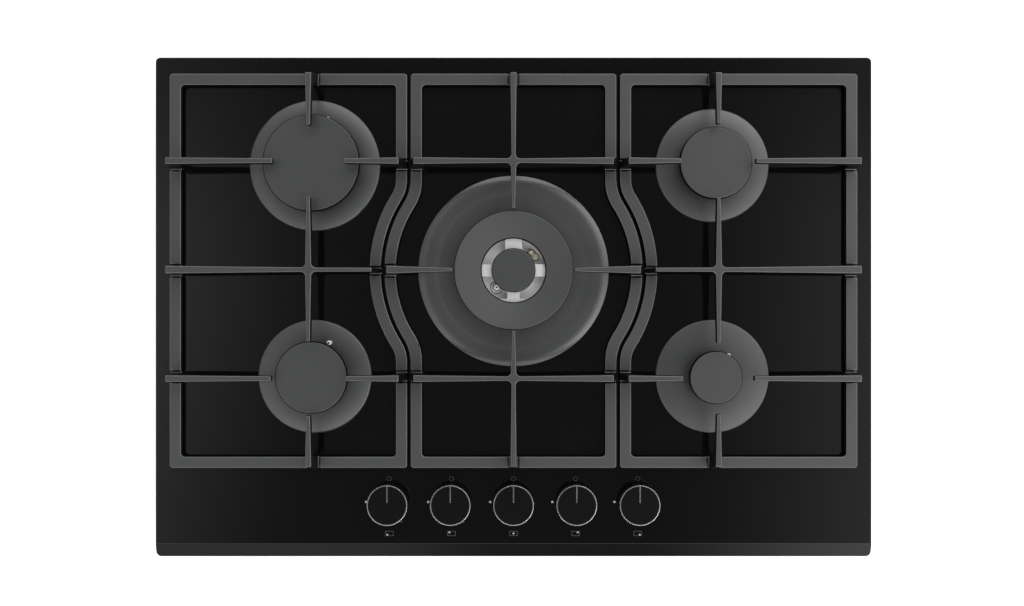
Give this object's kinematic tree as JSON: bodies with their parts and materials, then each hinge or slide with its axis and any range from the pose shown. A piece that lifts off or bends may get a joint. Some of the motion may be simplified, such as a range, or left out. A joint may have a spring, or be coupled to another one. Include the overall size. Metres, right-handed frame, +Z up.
{
  "type": "gas cooktop",
  "caption": "Built-in gas cooktop: black glass panel, cast-iron pan supports, corner burners round a central wok burner, and control knobs in a row at the front.",
  "frame": {"origin": "under the middle of the glass panel, level with the underside of the base tray", "axes": "+X to the cook's right, along the panel's long side; +Y to the rear; +Z up"},
  "size_m": [0.745, 0.52, 0.1054],
  "materials": {
    "black_glass": "polished black toughened glass, opaque",
    "cast_iron": "satin black enamelled cast iron",
    "black_enamel": "satin black enamel on steel",
    "crown_aluminium": "die-cast aluminium, bare",
    "knob_black": "satin black plastic",
    "bright_trim": "bright plated trim",
    "white_ceramic": "glazed white ceramic",
    "pin_steel": "bare steel pin",
    "probe_copper": "copper and brass probe with its capillary lead",
    "brass": "machined brass",
    "valve_alloy": "die-cast aluminium",
    "tube_alloy": "drawn aluminium tube",
    "manifold_steel": "zinc-plated steel tube",
    "galvanised_sheet": "galvanised sheet steel",
    "zinc_screw": "zinc-plated steel",
    "spindle_steel": "turned steel",
    "lead_silicone": "silicone-covered lead",
    "black_plastic": "moulded black plastic",
    "black_rubber": "black rubber",
    "seal_foam": "closed-cell foam tape"
  },
  "bodies": {
    "hob": {"glass_panel": "black_glass", "rim_seal": "seal_foam", "base_tray": "galvanised_sheet", "burner_rails": "galvanised_sheet", "screws": "zinc_screw", "gas_manifold": "manifold_steel", "gas_inlet": "brass", "gas_valves": "valve_alloy", "gas_tubes": "tube_alloy", "injectors": "brass", "ignition_module": "black_plastic", "ignition_switches": "black_plastic", "terminal_box": "black_plastic", "spark_leads": "lead_silicone", "spark_plugs": "white_ceramic", "spark_pins": "pin_steel", "thermocouples": "probe_copper", "knob_seals": "black_rubber", "burner_cup_left_front": "black_enamel", "burner_cup_left_rear": "black_enamel", "burner_cup_right_front": "black_enamel", "burner_cup_right_rear": "black_enamel", "burner_cup_wok": "black_enamel"},
    "support_left": {"pan_support_left": "cast_iron", "support_feet_left": "black_rubber"},
    "support_centre": {"pan_support_centre": "cast_iron", "support_feet_centre": "black_rubber"},
    "support_right": {"pan_support_right": "cast_iron", "support_feet_right": "black_rubber"},
    "crown_left_front": {"burner_crown_left_front": "crown_aluminium"},
    "cap_left_front": {"burner_cap_left_front": "black_enamel"},
    "crown_left_rear": {"burner_crown_left_rear": "crown_aluminium"},
    "cap_left_rear": {"burner_cap_left_rear": "black_enamel"},
    "crown_right_front": {"burner_crown_right_front": "crown_aluminium"},
    "cap_right_front": {"burner_cap_right_front": "black_enamel"},
    "crown_right_rear": {"burner_crown_right_rear": "crown_aluminium"},
    "cap_right_rear": {"burner_cap_right_rear": "black_enamel"},
    "crown_wok": {"burner_crown_wok": "crown_aluminium"},
    "cap_wok": {"burner_cap_wok": "black_enamel"},
    "cap_wok_inner": {"burner_cap_wok_inner": "black_enamel"},
    "plug_left_front": {"valve_plug_left_front": "brass"},
    "control_left_front": {"knob_left_front": "knob_black", "knob_ring_left_front": "bright_trim", "spindle_left_front": "spindle_steel"},
    "plug_left_rear": {"valve_plug_left_rear": "brass"},
    "control_left_rear": {"knob_left_rear": "knob_black", "knob_ring_left_rear": "bright_trim", "spindle_left_rear": "spindle_steel"},
    "plug_wok": {"valve_plug_wok": "brass"},
    "control_wok": {"knob_wok": "knob_black", "knob_ring_wok": "bright_trim", "spindle_wok": "spindle_steel"},
    "plug_right_rear": {"valve_plug_right_rear": "brass"},
    "control_right_rear": {"knob_right_rear": "knob_black", "knob_ring_right_rear": "bright_trim", "spindle_right_rear": "spindle_steel"},
    "plug_right_front": {"valve_plug_right_front": "brass"},
    "control_right_front": {"knob_right_front": "knob_black", "knob_ring_right_front": "bright_trim", "spindle_right_front": "spindle_steel"}
  },
  "joints": [
    {"name": "support_left_lift", "type": "slide", "parent": "hob", "child": "support_left", "axis": [0, 0, 1], "range_m": [0, 0.06]},
    {"name": "support_centre_lift", "type": "slide", "parent": "hob", "child": "support_centre", "axis": [0, 0, 1], "range_m": [0, 0.06]},
    {"name": "support_right_lift", "type": "slide", "parent": "hob", "child": "support_right", "axis": [0, 0, 1], "range_m": [0, 0.06]},
    {"name": "crown_left_front_lift", "type": "slide", "parent": "hob", "child": "crown_left_front", "axis": [0, 0, 1], "range_m": [0, 0.025]},
    {"name": "cap_left_front_lift", "type": "slide", "parent": "crown_left_front", "child": "cap_left_front", "axis": [0, 0, 1], "range_m": [0, 0.025]},
    {"name": "crown_left_rear_lift", "type": "slide", "parent": "hob", "child": "crown_left_rear", "axis": [0, 0, 1], "range_m": [0, 0.0024]},
    {"name": "cap_left_rear_lift", "type": "slide", "parent": "crown_left_rear", "child": "cap_left_rear", "axis": [0, 0, 1], "range_m": [0, 0.0024]},
    {"name": "crown_right_front_lift", "type": "slide", "parent": "hob", "child": "crown_right_front", "axis": [0, 0, 1], "range_m": [0, 0.025]},
    {"name": "cap_right_front_lift", "type": "slide", "parent": "crown_right_front", "child": "cap_right_front", "axis": [0, 0, 1], "range_m": [0, 0.025]},
    {"name": "crown_right_rear_lift", "type": "slide", "parent": "hob", "child": "crown_right_rear", "axis": [0, 0, 1], "range_m": [0, 0.025]},
    {"name": "cap_right_rear_lift", "type": "slide", "parent": "crown_right_rear", "child": "cap_right_rear", "axis": [0, 0, 1], "range_m": [0, 0.025]},
    {"name": "crown_wok_lift", "type": "slide", "parent": "hob", "child": "crown_wok", "axis": [0, 0, 1], "range_m": [0, 0.025]},
    {"name": "cap_wok_lift", "type": "slide", "parent": "crown_wok", "child": "cap_wok", "axis": [0, 0, 1], "range_m": [0, 0.025]},
    {"name": "cap_wok_inner_lift", "type": "slide", "parent": "crown_wok", "child": "cap_wok_inner", "axis": [0, 0, 1], "range_m": [0, 0.025]},
    {"name": "turn_left_front", "type": "hinge", "parent": "hob", "child": "plug_left_front", "pos_m": [-0.1292, -0.2025, 0.03], "axis": [0, 0, 1], "range_deg": [0, 210]},
    {"name": "push_left_front", "type": "slide", "parent": "plug_left_front", "child": "control_left_front", "axis": [0, 0, -1], "range_m": [0, 0.0035], "stiffness_N_per_m": 1500, "springref_m": -0.002},
    {"name": "turn_left_rear", "type": "hinge", "parent": "hob", "child": "plug_left_rear", "pos_m": [-0.0646, -0.2025, 0.03], "axis": [0, 0, 1], "range_deg": [0, 210]},
    {"name": "push_left_rear", "type": "slide", "parent": "plug_left_rear", "child": "control_left_rear", "axis": [0, 0, -1], "range_m": [0, 0.0035], "stiffness_N_per_m": 1500, "springref_m": -0.002},
    {"name": "turn_wok", "type": "hinge", "parent": "hob", "child": "plug_wok", "pos_m": [0, -0.2025, 0.03], "axis": [0, 0, 1], "range_deg": [0, 210]},
    {"name": "push_wok", "type": "slide", "parent": "plug_wok", "child": "control_wok", "axis": [0, 0, -1], "range_m": [0, 0.0035], "stiffness_N_per_m": 1500, "springref_m": -0.002},
    {"name": "turn_right_rear", "type": "hinge", "parent": "hob", "child": "plug_right_rear", "pos_m": [0.0646, -0.2025, 0.03], "axis": [0, 0, 1], "range_deg": [0, 210]},
    {"name": "push_right_rear", "type": "slide", "parent": "plug_right_rear", "child": "control_right_rear", "axis": [0, 0, -1], "range_m": [0, 0.0035], "stiffness_N_per_m": 1500, "springref_m": -0.002},
    {"name": "turn_right_front", "type": "hinge", "parent": "hob", "child": "plug_right_front", "pos_m": [0.1292, -0.2025, 0.03], "axis": [0, 0, 1], "range_deg": [0, 210]},
    {"name": "push_right_front", "type": "slide", "parent": "plug_right_front", "child": "control_right_front", "axis": [0, 0, -1], "range_m": [0, 0.0035], "stiffness_N_per_m": 1500, "springref_m": -0.002}
  ]
}
